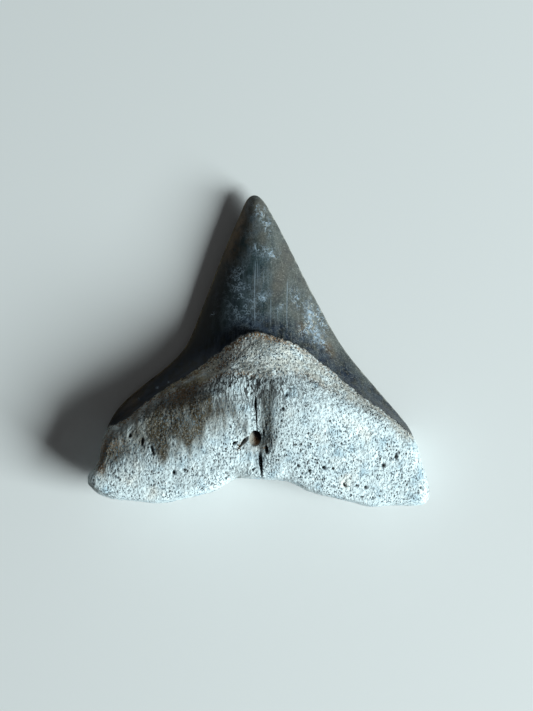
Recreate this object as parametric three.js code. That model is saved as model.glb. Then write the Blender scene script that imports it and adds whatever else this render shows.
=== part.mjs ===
// A fossil bull shark tooth lying on its flat outer (labial) face.
//
// Frame, in millimetres: +X across the tooth, +Y from the root towards the tip of the crown, +Z up
// out of the surface that it lies on. The origin is under the middle of its bounding box.
// The crown and the root grew as one body, so the tooth is one closed mesh.

import * as THREE from "three";
import { mergeVertices } from "three/addons/utils/BufferGeometryUtils.js";

const { clamp, lerp, smoothstep } = THREE.MathUtils;

// ---- driving dimensions (mm) ----
const toothWidth = 26.0; // root, lobe to lobe
const toothHeight = 23.8; // basal margin to tip
const toothThickness = 6.2; // flat outer face to the top of the root's bulge

const archTop = 1.6; // y that the arched line between the crown and the root rises towards
const archRounding = 1.2; // of the arch at its apex
const archFall = 0.3; // of the arch, times the distance from the middle to the power archPower
const archPower = 1.32;

const crownBase = -1.0; // y where the blade of the crown has its full size
const crownHalfWidth = 5.6; // of the blade there, square to its edges
const crownThickness = 3.2; // of the blade there, above its cutting edges
const tipHalfWidth = 0.55;
const tipThickness = 0.65;
const tipLift = 0.7; // how far the outer face curves up from the surface at the tip
const tipBendStart = 2.5; // y where that curve starts

const cuttingEdgeHeight = 0.95; // of the crown's sharp edges above the surface
const rootEdgeHeight = 2.9; // of the widest line of the rounded root
const rootEdgeRadius = 1.2; // of the rounding above that line
const underEdgeRadius = 2.8; // of the rounding below it
const bandAtMiddle = 4.9; // width of the band that rises from the crown's line to the root's bulge
const bandAtLobes = 1.0; // of the same band at the lobes' ends
const ridgeBelowCrown = 4.2; // from the crown's line down to the ridge of the root's bulge
const ridgeFall = 0.029; // share of the bulge lost per square millimetre away from its ridge
const ridgeBreadth = 3.3; // distance from the ridge over which its sides straighten
const lobeThinning = 0.45; // share of its bulge that the root loses towards the lobes' ends

const gridCount = 24; // facets along each side of the cube whose grid covers the tooth
const gridMiddle = new THREE.Vector2(0, -3); // the middle of the grid over each face
const shortestReach = 6.8; // from there to the nearest point of the outline
const outlineCount = 960; // points along the outline to measure insets from

// The foramen, where the nutrient canal opens on the inner (lingual) face.
const foramen = new THREE.Vector2(-0.2, -6.6);
const foramenDepth = 0.6;
const foramenRadius = 0.6;
const grooveDepth = 0.3; // of the nutrient groove, which runs from there to the basal margin
const grooveHalfWidth = 0.75;

// The outline, clockwise from the tip as seen from above. These are the corners of a polygon: the
// outline runs from the middle of one side to the middle of the next, rounding the corner between.
const outlineCorners = [
  // tip and right cutting edge
  [0.1, 12.0], [1.1, 10.3], [2.4, 7.8], [3.6, 5.3], [4.9, 2.9], [5.9, 1.0], [7.0, -0.6],
  [8.8, -2.7], [10.6, -4.8],
  // right root lobe
  [11.9, -6.3], [12.4, -8.9], [13.05, -10.4], [12.95, -11.8], [11.4, -11.85], [9.9, -11.75],
  [8.7, -12.05],
  // basal margin
  [7.6, -11.65], [4.3, -11.0], [3.1, -10.35], [2.0, -9.85], [0.4, -9.9], [-1.0, -9.7],
  [-2.0, -9.8], [-3.2, -10.75], [-4.3, -11.0],
  // left root lobe, with the knob at its end
  [-7.1, -11.7], [-8.8, -11.6], [-10.0, -11.4], [-11.5, -11.4], [-13.1, -10.2], [-12.9, -9.4],
  [-12.1, -8.8], [-12.0, -7.4], [-11.6, -5.8],
  // left shoulder and cutting edge
  [-10.7, -4.3], [-9.1, -2.9], [-6.7, -1.1], [-5.4, 0.3], [-4.6, 2.4], [-3.8, 4.5],
  [-3.0, 6.6], [-2.2, 8.6], [-1.4, 10.3], [-0.85, 11.85],
];

/** The closed outline of the tooth, in the XY plane. */
class ToothOutline extends THREE.Curve {
  /** The place that is a share t of the corners round from the tip. */
  getPoint(t) {
    const along = (t % 1) * outlineCorners.length;
    const corner = Math.floor(along);
    const at = this.corner(corner);
    const start = this.corner(corner - 1).lerp(at, 0.5);
    const end = this.corner(corner + 1).lerp(at, 0.5);
    return new THREE.QuadraticBezierCurve(start, at, end).getPoint(along - corner);
  }

  /** One of the polygon's corners, counted round and round from the tip. */
  corner(index) {
    return new THREE.Vector2(...outlineCorners.at(index % outlineCorners.length));
  }
}

/** y of the arched line on the inner face where the crown ends and the root begins, at x. */
function crownLine(x) {
  return archTop - archFall * Math.hypot(x, archRounding) ** archPower;
}

/** How much a point belongs to the root, from 0 on the crown to 1 past the root's rough band. */
function rootShare(x, y) {
  const bandWidth = lerp(bandAtMiddle, bandAtLobes, smoothstep(Math.abs(x), 1, 11));
  return smoothstep(crownLine(x) - y, -0.35, bandWidth);
}

/** How far along the crown a point is, from 0 at the crown's base to 1 at the tip. */
function crownShare(y) {
  return clamp((y - crownBase) / (toothHeight / 2 - crownBase), 0, 1);
}

/** Rise of a rounded edge, from 0 at the edge to 1 where the inset reaches the given radius. */
function roundedRise(inset, radius) {
  const across = Math.min(inset / radius, 1);
  return Math.sqrt(across * (2 - across));
}

/** Rise of a sharp-edged blade, from 0 at the edge to 1 where the inset reaches halfWidth. */
function bladeRise(inset, halfWidth) {
  const across = Math.min(inset / halfWidth, 1);
  return across * (2 - across);
}

/** Rise of the inner face above the edge on the crown. */
function crownRise(y, inset) {
  const share = crownShare(y);
  const halfWidth = lerp(crownHalfWidth, tipHalfWidth, share);
  return lerp(crownThickness, tipThickness, share) * bladeRise(inset, halfWidth);
}

/** Rise of the inner face above the edge on the root: a bulge that thins towards the lobes. */
function rootRise(x, y, inset) {
  const bulge = toothThickness - rootEdgeHeight;
  const thinned = 1 - lobeThinning * smoothstep(Math.abs(x), 2, 12.5);
  const fromRidge = y - (crownLine(x) - ridgeBelowCrown);
  const straightened = 1 + (fromRidge / ridgeBreadth) ** 2;
  const domed = 1 - (ridgeFall * fromRidge ** 2) / straightened;
  return bulge * thinned * domed * roundedRise(inset, rootEdgeRadius);
}

/** Depth of the nutrient groove and of the hollow round the foramen. */
function hollowDepth(x, y, inset) {
  const beside = (x - foramen.x) / grooveHalfWidth;
  const below = smoothstep(foramen.y - y, -0.8, 0.6) * smoothstep(inset, 0, 1);
  const away = Math.hypot(x - foramen.x, y - foramen.y) / foramenRadius;
  return grooveDepth * below * Math.exp(-beside * beside) + foramenDepth * Math.exp(-away * away);
}

/** Height of the widest line round the tooth: low on the crown's edges, higher on the root. */
function edgeHeight(x, y) {
  const crownEdge = cuttingEdgeHeight + 0.45 * crownShare(y);
  return lerp(crownEdge, rootEdgeHeight, rootShare(x, y));
}

/** Height of the inner (upper) face over a point that is inset from the outline. */
function innerFace(x, y, inset) {
  const rise = lerp(crownRise(y, inset), rootRise(x, y, inset), rootShare(x, y));
  return edgeHeight(x, y) + rise - hollowDepth(x, y, inset);
}

/** Height of the outer (lower) face: flat to rest on, and curved up to the edge. */
function outerFace(x, y, inset) {
  const share = crownShare(y);
  const lift = tipLift * Math.pow(smoothstep(y, tipBendStart, toothHeight / 2), 1.3);
  const blade = bladeRise(inset, lerp(4.2, tipHalfWidth, share));
  const flatness = lerp(blade, roundedRise(inset, underEdgeRadius), rootShare(x, y));
  return lerp(edgeHeight(x, y), lift, flatness);
}

/** A point between the grid's middle and the rim: the grid is finer towards the rim. */
function alongSpoke(rim, fromPole) {
  const reach = Math.hypot(rim.x - gridMiddle.x, rim.y - gridMiddle.y);
  const eased = lerp(fromPole, Math.sin((fromPole * Math.PI) / 2), 0.35);
  const spread = Math.pow(eased, 1 + 0.25 * Math.log(reach / shortestReach));
  return [lerp(gridMiddle.x, rim.x, spread), lerp(gridMiddle.y, rim.y, spread)];
}

/** Shortest distance from a point to the outline, given as a list of points along it. */
function insetFrom(outline, x, y) {
  let nearest = Infinity;
  for (const point of outline) {
    nearest = Math.min(nearest, Math.hypot(point.x - x, point.y - y));
  }
  return nearest;
}

/** A place along a cube's side, moved so that equal steps give equal angles from its middle. */
function evened(along) {
  return Math.tan((along * Math.PI) / 4);
}

/** A unit sphere covered by a cube's grid, which has no poles where facets grow thin. */
function evenSphere() {
  const cube = new THREE.BoxGeometry(2, 2, 2, gridCount, gridCount, gridCount);
  cube.deleteAttribute("normal");
  cube.deleteAttribute("uv");
  const sphere = mergeVertices(cube, 1e-4);
  const position = sphere.attributes.position;
  const place = new THREE.Vector3();
  for (let i = 0; i < position.count; i += 1) {
    place.fromBufferAttribute(position, i);
    place.set(evened(place.x), evened(place.y), evened(place.z)).normalize();
    position.setXYZ(i, place.x, place.y, place.z);
  }
  return sphere;
}

/** The closed surface: a sphere's upper and lower halves spread over the two faces. */
function toothGeometry() {
  const curve = new ToothOutline();
  const outline = curve.getPoints(outlineCount);
  const sphere = evenSphere();
  const position = sphere.attributes.position;
  const place = new THREE.Vector3();
  for (let i = 0; i < position.count; i += 1) {
    place.fromBufferAttribute(position, i);
    const turn = Math.atan2(place.y, place.x) / (2 * Math.PI);
    const rim = curve.getPoint((1.25 - turn) % 1);
    const fromPole = Math.acos(Math.min(Math.abs(place.z), 1)) / (Math.PI / 2);
    const [x, y] = alongSpoke(rim, fromPole);
    const inset = fromPole > 0.9999 ? 0 : insetFrom(outline, x, y);
    const z = place.z >= 0 ? innerFace(x, y, inset) : outerFace(x, y, inset);
    position.setXYZ(i, x, y, z);
  }
  return sizedOnSurface(sphere);
}

/** Sizes the body exactly and stands it on z = 0 over the origin. */
function sizedOnSurface(geometry) {
  geometry.computeBoundingBox();
  const { min, max } = geometry.boundingBox;
  geometry.translate(-(min.x + max.x) / 2, -(min.y + max.y) / 2, -min.z);
  geometry.scale(
    toothWidth / (max.x - min.x),
    toothHeight / (max.y - min.y),
    toothThickness / (max.z - min.z),
  );
  geometry.computeVertexNormals();
  return geometry;
}

/** Fossil stone: the root's pale grey, which is most of what shows. */
function fossilMaterial() {
  return new THREE.MeshStandardMaterial({ color: 0x9a9b96, roughness: 0.8, metalness: 0 });
}

const tooth = new THREE.Mesh(toothGeometry(), fossilMaterial());
tooth.name = "tooth";

const fossilTooth = new THREE.Group();
fossilTooth.add(tooth);

export default fossilTooth;
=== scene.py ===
"""A fossil bull shark tooth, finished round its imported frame.

The tooth lies on its flat outer (labial) face. +X runs across it from lobe to lobe, +Y towards the
tip and +Z up, out of the inner (lingual) face. Lengths in the classes below are tooth millimetres:
one is the frame's width over TOOTH_WIDTH, so that the finish follows the frame's real size.
"""

import logging
import math
from dataclasses import dataclass, field
from enum import Enum
from typing import Callable, Sequence

import bmesh
import bpy
import numpy as np
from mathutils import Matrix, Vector, noise
from mathutils.bvhtree import BVHTree
from mathutils.kdtree import KDTree


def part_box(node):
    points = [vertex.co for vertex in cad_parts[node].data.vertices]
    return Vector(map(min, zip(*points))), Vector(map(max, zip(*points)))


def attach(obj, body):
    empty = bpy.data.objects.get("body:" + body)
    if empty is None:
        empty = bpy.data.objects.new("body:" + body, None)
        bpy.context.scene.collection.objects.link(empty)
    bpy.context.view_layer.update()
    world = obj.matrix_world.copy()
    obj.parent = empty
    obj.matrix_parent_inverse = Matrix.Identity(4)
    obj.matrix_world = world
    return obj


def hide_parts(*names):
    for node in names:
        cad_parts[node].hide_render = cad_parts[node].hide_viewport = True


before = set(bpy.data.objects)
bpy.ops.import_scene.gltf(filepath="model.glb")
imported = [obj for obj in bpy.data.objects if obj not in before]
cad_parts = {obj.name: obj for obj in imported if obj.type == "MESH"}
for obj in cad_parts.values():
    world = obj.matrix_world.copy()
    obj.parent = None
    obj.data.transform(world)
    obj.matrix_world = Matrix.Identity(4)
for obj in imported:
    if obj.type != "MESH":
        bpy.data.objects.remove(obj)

LOG = logging.getLogger("tooth")
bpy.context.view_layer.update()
NODE = "tooth"
TOOTH_WIDTH = 26.0
Points = Sequence[tuple[float, float]]
Colour = tuple[float, float, float]
Socket = bpy.types.NodeSocket
Layers = Sequence[tuple[object, object]]


def smoothstep(low: float, high: float, value: np.ndarray) -> np.ndarray:
    """Gives 0 below low, 1 above high and a smooth rise between them."""
    share = np.clip((value - low) / (high - low), 0.0, 1.0)
    return share * share * (3.0 - 2.0 * share)


def sampled(places: np.ndarray, pattern: Callable[[Vector], float]) -> np.ndarray:
    """Evaluates a pattern at many places.

    Args:
        places: one row of x, y and z for each place.
        pattern: gives one number for a place.

    Returns:
        The pattern's number for each place.
    """
    return np.fromiter((pattern(Vector(place)) for place in places), float, len(places))


class Mask(Enum):
    """The masks over the body that its finish reads, by attribute name."""

    ROOT_DEPTH = "root_depth"
    BAND_DEPTH = "band_depth"
    COMB = "comb"
    SMOOTH = "smooth"
    CANAL = "canal"
    # How dark the floors of cuts are painted: grime and painted shade.
    GRIME_AND_SHADE = "grime_and_shade"
    EDGE = "edge"
    # On the root a smoky stain with painted shade, on the crown smoke.
    SHADE_AND_SMOKE = "smoky_shade"
    OCHRE = "ochre"
    RUST = "rust"
    BLOOM = "bloom"
    CHALK = "chalk"


@dataclass(frozen=True)
class Line:
    """A smooth line across one face of the tooth, as y for each x."""

    points: Points

    def height(self, x: np.ndarray) -> np.ndarray:
        """Works out y on the line.

        Args:
            x: places across the tooth.

        Returns:
            The line's y at each x, by a cubic through its points.
        """
        xs, ys = np.array(self.points).T
        slopes = np.gradient(ys, xs)
        i = np.clip(np.searchsorted(xs, x) - 1, 0, len(xs) - 2)
        step = xs[i + 1] - xs[i]
        t = np.clip((x - xs[i]) / step, 0.0, 1.0)
        from_start = (1 + 2 * t) * (1 - t) ** 2 * ys[i] + t * (1 - t) ** 2 * step * slopes[i]
        to_end = t * t * (3 - 2 * t) * ys[i + 1] - t * t * (1 - t) * step * slopes[i + 1]
        return from_start + to_end

    def depth(self, places: np.ndarray) -> np.ndarray:
        """Works out how far places lie below the line, square to it.

        Args:
            places: one row of x, y and z for each place.

        Returns:
            The distance, negative above the line.
        """
        x = places[:, 0]
        probe = 0.25
        slope = (self.height(x + probe) - self.height(x - probe)) / (2 * probe)
        return (self.height(x) - places[:, 1]) / np.sqrt(1 + slope * slope)


@dataclass(frozen=True)
class Patch:
    """An ellipse on one face of the tooth, turned clockwise from the Y axis by so many degrees.

    Its upper end is wider than its lower end by the share given as its taper.
    """

    x: float
    y: float
    length: float
    width: float
    strength: float = 1.0
    turn: float = 0.0
    taper: float = 0.0

    def local(self, places: np.ndarray) -> tuple[np.ndarray, np.ndarray]:
        """Measures places in the patch's own directions.

        Args:
            places: one row of x, y and z for each place.

        Returns:
            How far along and how far across the patch they are, each 1 on its outline.
        """
        turn = math.radians(self.turn)
        dx = places[:, 0] - self.x
        dy = places[:, 1] - self.y
        along = (dy * math.cos(turn) + dx * math.sin(turn)) / (self.length / 2)
        across = (dx * math.cos(turn) - dy * math.sin(turn)) / (self.width / 2)
        return along, across / (1 + self.taper * np.clip(along, -1.0, 1.0))

    def blurred(self, places: np.ndarray) -> np.ndarray:
        """Gives a soft spot of the patch's strength at each place."""
        along, across = self.local(places)
        return self.strength * np.exp(-along * along - across * across)

    def filled(self, places: np.ndarray, softness: float = 0.5) -> np.ndarray:
        """Works out how far inside the patch places are.

        Args:
            places: one row of x, y and z for each place.
            softness: share of the patch's size over which its border is blurred.

        Returns:
            1 inside the patch, 0 outside it.
        """
        away = np.hypot(*self.local(places))
        return 1.0 - smoothstep(1.0 - softness, 1.0 + softness, away)


def together(patches: Sequence[Patch], places: np.ndarray) -> np.ndarray:
    """Adds up several soft spots, to at most 1."""
    return np.clip(sum(patch.blurred(places) for patch in patches), 0.0, 1.0)


INNER_CROWN_LINE = Line((
    (-11.7, -5.8), (-10.1, -5.2), (-8.9, -4.2), (-7.0, -2.8), (-4.9, -1.55), (-3.5, -0.5),
    (-2.4, 0.3), (-1.3, 1.1), (-0.3, 1.4), (1.1, 1.1), (3.2, 0.3), (5.3, -1.35), (7.8, -3.4),
    (10.0, -5.0), (11.8, -6.5),
))
BAND_LINE = Line((
    (-10.4, -5.6), (-8.6, -4.0), (-6.6, -3.3), (-3.8, -2.4), (-2.8, -1.9), (-1.3, -1.7),
    (0.0, -2.0), (1.5, -1.95), (3.0, -1.75), (4.9, -2.8), (7.4, -4.1), (9.7, -5.5), (11.4, -6.9),
))
OUTER_CROWN_LINE = Line((
    (-11.8, -6.3), (-9.0, -4.9), (-5.0, -3.7), (0.0, -3.2), (5.0, -3.75), (9.0, -5.1),
    (11.8, -6.7),
))

FORAMEN = Patch(-0.28, -6.66, 1.04, 0.82, turn=8)
PITS = (
    Patch(0.17, -8.76, 1.75, 0.2, 0.6, turn=-5, taper=0.5),
    Patch(0.57, -7.45, 0.55, 0.24, 0.35, turn=-12),
    Patch(0.37, -6.2, 0.4, 0.13, 0.3),
    Patch(-1.19, -6.97, 1.1, 0.15, 0.4, turn=40, taper=0.6),
    Patch(-1.8, -6.99, 0.34, 0.2, 0.4, turn=60),
    Patch(-0.43, -9.0, 0.18, 0.16, 0.3),
    Patch(4.93, -8.83, 0.22, 0.24, 0.4),
    Patch(3.82, -9.06, 0.22, 0.16, 0.3, turn=-20),
    Patch(5.6, -8.9, 0.2, 0.18, 0.2),
    Patch(9.44, -8.68, 0.34, 0.26, 0.2, turn=15),
    Patch(10.4, -7.99, 0.45, 0.13, 0.3),
    Patch(6.5, -10.15, 0.32, 0.16, 0.3, turn=-25),
    Patch(8.07, -10.33, 0.2, 0.2, 0.3),
    Patch(7.4, -10.2, 0.17, 0.17, 0.25),
    Patch(7.76, -11.1, 0.18, 0.22, 0.25),
    Patch(12.3, -10.36, 0.2, 0.22, 0.25),
    Patch(2.98, -8.68, 0.18, 0.16, 0.25),
    Patch(1.84, -4.4, 0.26, 0.18, 0.3),
    Patch(2.1, -3.3, 0.26, 0.14, 0.25),
    Patch(-8.8, -6.88, 0.65, 0.14, 0.3, turn=8),
    Patch(-8.02, -7.55, 0.7, 0.16, 0.3, turn=-16),
    Patch(-6.39, -9.21, 0.3, 0.2, 0.35, turn=-15),
    Patch(-9.71, -6.42, 0.26, 0.2, 0.25),
    Patch(-5.6, -9.0, 0.2, 0.18, 0.2),
)
CRACKS = (
    Patch(-0.22, -2.8, 1.8, 0.07, 0.12),
    Patch(-0.17, -4.8, 2.7, 0.08, 0.3, turn=-2.4, taper=0.3),
    Patch(-0.23, -4.1, 0.8, 0.15, 0.25),
    Patch(0.55, -5.6, 0.7, 0.08, 0.12, turn=-4),
)
RIDGES = (
    Patch(-0.85, -6.5, 1.7, 0.3),
    Patch(-0.62, -8.2, 2.6, 0.4),
    Patch(-0.35, -7.38, 0.3, 0.5, 0.8),
    Patch(-0.75, -5.6, 1.5, 0.6, 0.35),
)
CANAL_ZONE = Patch(-0.35, -6.6, 6.4, 3.4)
KNOB = Patch(-12.5, -9.9, 1.8, 1.6, 0.3)
SMOOTH = (
    Patch(-0.75, -5.6, 1.6, 0.6, 0.7),
    Patch(-0.62, -8.0, 2.6, 0.5, 0.3),
    Patch(0.8, -8.8, 1.3, 0.8, 0.4),
    Patch(-0.5, -7.2, 0.8, 0.8, 0.45),
    Patch(0.62, -6.8, 0.5, 0.5, 0.8),
)
# Dark patches on the root: partly a smoky grey-brown stain, partly painted shade, mostly over its
# upper left where it turns away from the light.
SHADE_AND_SMOKE = (
    Patch(-6.8, -4.7, 4.0, 5.0, 0.9, turn=-25),
    Patch(-4.9, -5.2, 3.8, 2.4, 0.8, turn=-10),
    Patch(-3.0, -5.0, 3.2, 2.4, 0.5, turn=-10),
    Patch(-7.2, -6.8, 3.2, 1.5, 0.85),
    Patch(-5.3, -5.4, 3.8, 1.2, 0.8),
    Patch(-8.4, -5.9, 2.6, 2.0, 0.35, turn=-20),
    Patch(-6.9, -8.0, 1.2, 2.0, 0.35),
    Patch(-9.8, -7.0, 3.4, 2.8, 0.65, turn=-15),
    Patch(-4.3, -3.7, 2.4, 2.0, 0.6, turn=-25),
    Patch(-11.3, -7.8, 3.4, 2.0, 0.6),
    Patch(-11.8, -8.3, 2.2, 1.2, 0.7),
    Patch(-12.4, -10.0, 1.8, 1.5, 0.4),
    Patch(-1.6, -4.3, 3.0, 2.2, 0.45),
    Patch(1.4, -5.2, 2.4, 1.4, 0.35),
    Patch(0.75, -3.2, 2.4, 1.9, 0.5),
    Patch(0.6, -4.7, 3.6, 1.2, 0.75),
    Patch(0.8, -6.7, 2.4, 1.0, 0.65),
    Patch(-0.2, -7.3, 3.4, 2.0, 0.35),
    Patch(-0.8, -5.8, 2.0, 1.2, 0.3),
    Patch(-1.3, -9.3, 1.3, 2.0, 0.6),
    Patch(8.1, -4.5, 3.0, 0.5, 0.15, turn=-46),
    Patch(5.6, -2.8, 2.2, 0.45, 0.15, turn=-55),
    Patch(0.5, 0.6, 1.9, 3.6, 0.85),
    Patch(-0.9, -1.1, 1.0, 1.6, 0.45),
    Patch(0.9, -1.9, 1.0, 2.4, 0.35),
)
SMOKE = (
    Patch(1.55, 5.2, 3.6, 1.3, 1.0, turn=14),
    Patch(0.3, 8.7, 2.2, 1.0, 0.7, turn=-6),
    Patch(0.1, 11.2, 1.8, 1.8, 0.8),
    Patch(2.1, 7.6, 2.6, 1.2, 0.6, turn=-25),
    Patch(3.6, 5.0, 3.4, 0.9, 0.5, turn=-25),
    Patch(5.3, 0.0, 2.2, 1.0, 0.7, turn=-35),
)
OCHRE = (
    Patch(-2.2, -0.75, 0.5, 2.2, 1.0, turn=-35),
    Patch(-3.0, -1.3, 0.5, 1.6, 0.6, turn=-35),
    Patch(-1.5, 0.3, 0.8, 1.8, 0.7, turn=-40),
    Patch(3.1, 0.15, 0.4, 1.4, 0.9, turn=25),
    Patch(3.3, -1.9, 0.7, 1.8, 0.65, turn=20),
    Patch(4.8, -2.7, 0.4, 2.2, 0.7, turn=35),
    Patch(5.7, -1.75, 0.3, 1.6, 0.7, turn=38),
    Patch(0.5, -7.3, 0.7, 0.5, 0.9),
    Patch(-1.2, -6.95, 1.3, 0.3, 1.0, turn=40),
    Patch(-0.45, -7.7, 1.5, 1.0, 0.3),
    Patch(-1.5, -7.35, 0.4, 0.3, 1.0, turn=45),
    Patch(-6.0, -3.4, 0.7, 3.4, 0.85, turn=-28),
    Patch(-5.2, -3.6, 1.0, 2.8, 0.3, turn=-28),
    Patch(-8.6, -4.4, 0.8, 2.4, 0.6, turn=-40),
    Patch(-11.8, -7.2, 3.6, 0.7, 0.7, turn=8),
    Patch(-11.1, -6.5, 2.8, 1.4, 0.5, turn=-25),
    Patch(-12.0, -8.9, 1.0, 0.8, 0.7),
)
RUST = (
    Patch(-1.3, 10.0, 3.0, 0.6, 0.7, turn=24),
    Patch(-2.1, 8.0, 3.0, 0.7, 0.5, turn=20),
    Patch(-1.3, 8.4, 4.6, 1.6, 0.35, turn=22),
    Patch(-9.6, -4.0, 0.7, 2.2, 0.5, turn=-45),
    Patch(5.4, 0.3, 1.9, 0.6, 0.5, turn=-25),
    Patch(3.3, 1.8, 1.0, 0.6, 0.4),
)
BLOOM = (
    Patch(0.0, 10.8, 1.5, 1.2, 0.6, turn=-25),
    Patch(0.65, 9.6, 1.7, 0.6, 0.9, turn=-12),
    Patch(0.95, 7.35, 0.8, 1.0, 1.1),
    Patch(0.0, 7.7, 0.6, 1.2, 0.8, turn=25),
    Patch(-0.1, 7.85, 0.25, 0.9, 0.7, turn=20),
    Patch(-1.6, 5.7, 1.8, 1.2, 0.85),
    Patch(-1.5, 4.6, 0.7, 0.9, 0.9, turn=30),
    Patch(-1.3, 3.4, 2.8, 2.4, 0.7),
    Patch(0.45, 4.1, 0.8, 0.9, 1.1),
    Patch(1.7, 3.3, 0.5, 0.6, 0.9),
    Patch(2.9, 4.0, 1.6, 0.7, 0.9, turn=-25),
    Patch(4.35, 3.2, 1.4, 0.6, 1.0, turn=-25),
    Patch(3.95, 2.6, 1.9, 0.8, 1.0, turn=-10),
    Patch(4.4, 1.2, 2.0, 1.1, 1.0, turn=-20),
    Patch(4.9, 2.2, 1.6, 0.7, 0.8, turn=-25),
    Patch(3.4, 1.6, 1.2, 0.7, 0.9),
    Patch(5.1, 0.4, 1.6, 0.3, 0.8, turn=-30),
    Patch(-3.5, 2.75, 0.26, 0.2, 1.4, turn=30),
    Patch(-7.75, -2.85, 0.2, 0.2, 1.2),
    Patch(-9.2, -3.7, 0.16, 0.16, 0.8),
    Patch(-6.9, -2.4, 0.16, 0.16, 0.8),
)
CHALK = (
    Patch(3.95, 2.7, 1.3, 0.5, 1.0, turn=-8),
    Patch(4.45, 1.3, 1.6, 0.6, 0.9, turn=-25),
    Patch(0.5, 4.15, 0.5, 0.5, 0.6),
    Patch(0.95, 7.3, 0.5, 0.6, 0.4),
    Patch(1.7, 3.3, 0.3, 0.4, 0.4),
    Patch(-1.5, 4.7, 0.5, 0.6, 0.35),
    Patch(-1.8, 6.0, 0.5, 0.5, 0.3),
)


class Relief:
    """How far each place on the surface is raised, and how dark it is painted: grime and painted
    shade.
    """

    def __init__(self, count: int) -> None:
        """Starts from a flat, clean surface."""
        self.lift = np.zeros(count)
        self.dirt_and_shade = np.zeros(count)

    def cut(self, share: np.ndarray, depth: float, dirt_and_shade: float = 1.0) -> None:
        """Lowers the surface.

        Args:
            share: how much of the cut each place gets.
            depth: the cut's full depth.
            dirt_and_shade: how dark the cut's floor is painted, for grime and painted shade.
        """
        self.lift -= depth * share
        self.dirt_and_shade += dirt_and_shade * share


@dataclass(frozen=True)
class Zones:
    """Where each place is on the tooth: on which face, and how far down its crown or root.

    The depths are below the crown's line and below the band's line. The other fields are 1 where
    a place is on the inner face, on the root, on its comb of slits or on worn, smooth stone.
    """

    places: np.ndarray
    inner: np.ndarray
    depth: np.ndarray
    band: np.ndarray
    root: np.ndarray
    comb: np.ndarray
    smooth: np.ndarray

    @classmethod
    def found(cls, places: np.ndarray, facing: np.ndarray) -> "Zones":
        """Works out the zones.

        Args:
            places: one row of x, y and z for each place.
            facing: how far each place faces up, from -1 to 1.

        Returns:
            The zones of all the places.
        """
        inner = smoothstep(-0.3, 0.3, facing)
        ragged = 0.10 * sampled(places * 2.6, noise.noise)
        ragged = ragged + 0.08 * sampled(places * 7.0, noise.noise)
        depth = inner * INNER_CROWN_LINE.depth(places)
        depth = depth + (1 - inner) * OUTER_CROWN_LINE.depth(places) + ragged
        band = BAND_LINE.depth(places) + ragged
        root = smoothstep(-0.06, 0.06, depth)
        comb = inner * smoothstep(-0.1, 0.2, band) * (1 - smoothstep(1.0, 3.4, band))
        comb = comb * np.exp(-(((places[:, 0] + 0.6) / 3.9) ** 4))
        return cls(places, inner, depth, band, root, comb, together(SMOOTH, places) * inner)


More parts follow.
